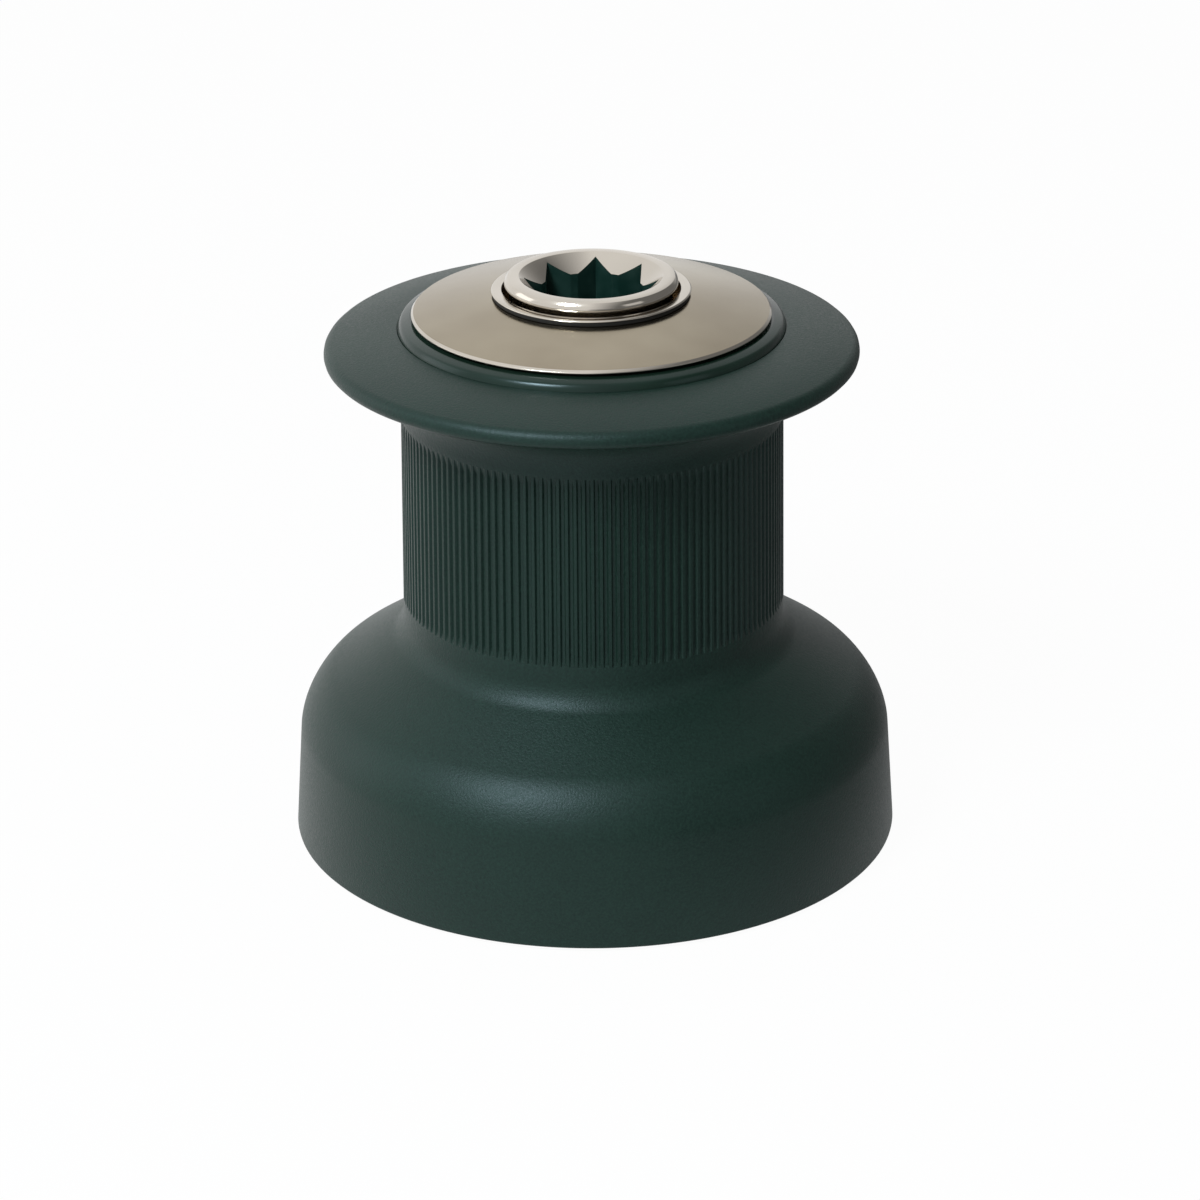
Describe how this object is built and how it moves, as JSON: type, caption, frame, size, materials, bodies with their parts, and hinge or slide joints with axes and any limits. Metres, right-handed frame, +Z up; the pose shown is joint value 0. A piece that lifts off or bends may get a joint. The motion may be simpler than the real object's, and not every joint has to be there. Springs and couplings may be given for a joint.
{
  "type": "sailing winch",
  "caption": "Small single-speed plain-top sailing winch: black ribbed drum on a wide skirt, polished cap with an eight-point handle socket, working pawls, ratchets and bearings inside.",
  "frame": {"origin": "on the drum's axis, at the deck face under the base", "axes": "+Z up along the drum's axis, towards the handle socket; -Y towards the sailor; a flat of the handle socket faces each of +X, -X, +Y and -Y"},
  "size_m": [0.114, 0.114, 0.1092],
  "materials": {
    "anodised_drum": "hard-anodised black, bead-blasted, satin",
    "gloss_collar": "smooth, glossy",
    "polished_cap": "polished stainless steel",
    "spindle_steel": "machined stainless steel, satin",
    "base_alloy": "cast, bead-blasted",
    "bronze": "machined bronze",
    "stainless": "machined",
    "spring_steel": "drawn wire",
    "black_acetal": "moulded",
    "black_rubber": "moulded",
    "white_acetal": "moulded"
  },
  "bodies": {
    "base": {"base": "base_alloy", "centre_stem": "bronze", "stem_screws": "stainless", "lower_spindle_bush": "black_acetal", "upper_spindle_bush": "black_acetal", "lower_bearing_washer": "white_acetal", "bearing_spacer": "white_acetal", "holding_pawl_pins": "stainless"},
    "drum": {"drum": "anodised_drum", "holding_ratchet_ring": "bronze", "holding_ring_pins": "stainless", "drive_ratchet_ring": "bronze", "drive_ring_pins": "stainless", "cap_collar": "gloss_collar", "top_cap": "polished_cap", "cap_seal": "black_rubber"},
    "spindle": {"main_spindle": "spindle_steel", "drum_thrust_washer": "white_acetal", "collets": "bronze", "collet_washer": "white_acetal", "spindle_washer": "stainless", "spindle_circlip": "spring_steel", "drive_pawl_pins": "stainless"},
    "lower_bearing": {"lower_cage": "black_acetal", "lower_rollers": "white_acetal"},
    "upper_bearing": {"upper_cage": "black_acetal", "upper_rollers": "white_acetal"},
    "holding_pawl_a": {"holding_pawl_a": "stainless", "holding_pawl_spring_a": "spring_steel"},
    "holding_pawl_b": {"holding_pawl_b": "stainless", "holding_pawl_spring_b": "spring_steel"},
    "drive_pawl_a": {"drive_pawl_a": "stainless", "drive_pawl_spring_a": "spring_steel"},
    "drive_pawl_b": {"drive_pawl_b": "stainless", "drive_pawl_spring_b": "spring_steel"}
  },
  "joints": [
    {"name": "drum_spin", "type": "hinge", "parent": "base", "child": "drum", "pos_m": [0, 0, 0.05], "axis": [0, 0, 1], "continuous": true},
    {"name": "spindle_spin", "type": "hinge", "parent": "base", "child": "spindle", "pos_m": [0, 0, 0.05], "axis": [0, 0, 1], "continuous": true},
    {"name": "lower_bearing_spin", "type": "hinge", "parent": "base", "child": "lower_bearing", "pos_m": [0, 0, 0.04], "axis": [0, 0, 1], "continuous": true},
    {"name": "upper_bearing_spin", "type": "hinge", "parent": "base", "child": "upper_bearing", "pos_m": [0, 0, 0.072], "axis": [0, 0, 1], "continuous": true},
    {"name": "holding_pawl_a_swing", "type": "hinge", "parent": "base", "child": "holding_pawl_a", "pos_m": [0.028, 0, 0.024], "axis": [0, 0, 1], "range_deg": [0, 13.6]},
    {"name": "drive_pawl_a_swing", "type": "hinge", "parent": "spindle", "child": "drive_pawl_a", "pos_m": [0.0174, 0, 0.0868], "axis": [0, 0, 1], "range_deg": [-16.2, 0], "stiffness_Nm_per_rad": 0.004, "springref_deg": 20.05},
    {"name": "holding_pawl_b_swing", "type": "hinge", "parent": "base", "child": "holding_pawl_b", "pos_m": [-0.028, 0, 0.024], "axis": [0, 0, 1], "range_deg": [0, 13.6]},
    {"name": "drive_pawl_b_swing", "type": "hinge", "parent": "spindle", "child": "drive_pawl_b", "pos_m": [-0.0174, 0, 0.0868], "axis": [0, 0, 1], "range_deg": [-16.2, 0], "stiffness_Nm_per_rad": 0.004, "springref_deg": 20.05}
  ],
  "couplings": [
    {"joint": "spindle_spin", "follows": "drum_spin", "ratio": 1},
    {"joint": "lower_bearing_spin", "follows": "drum_spin", "ratio": 0.5566},
    {"joint": "upper_bearing_spin", "follows": "drum_spin", "ratio": 0.5566}
  ]
}
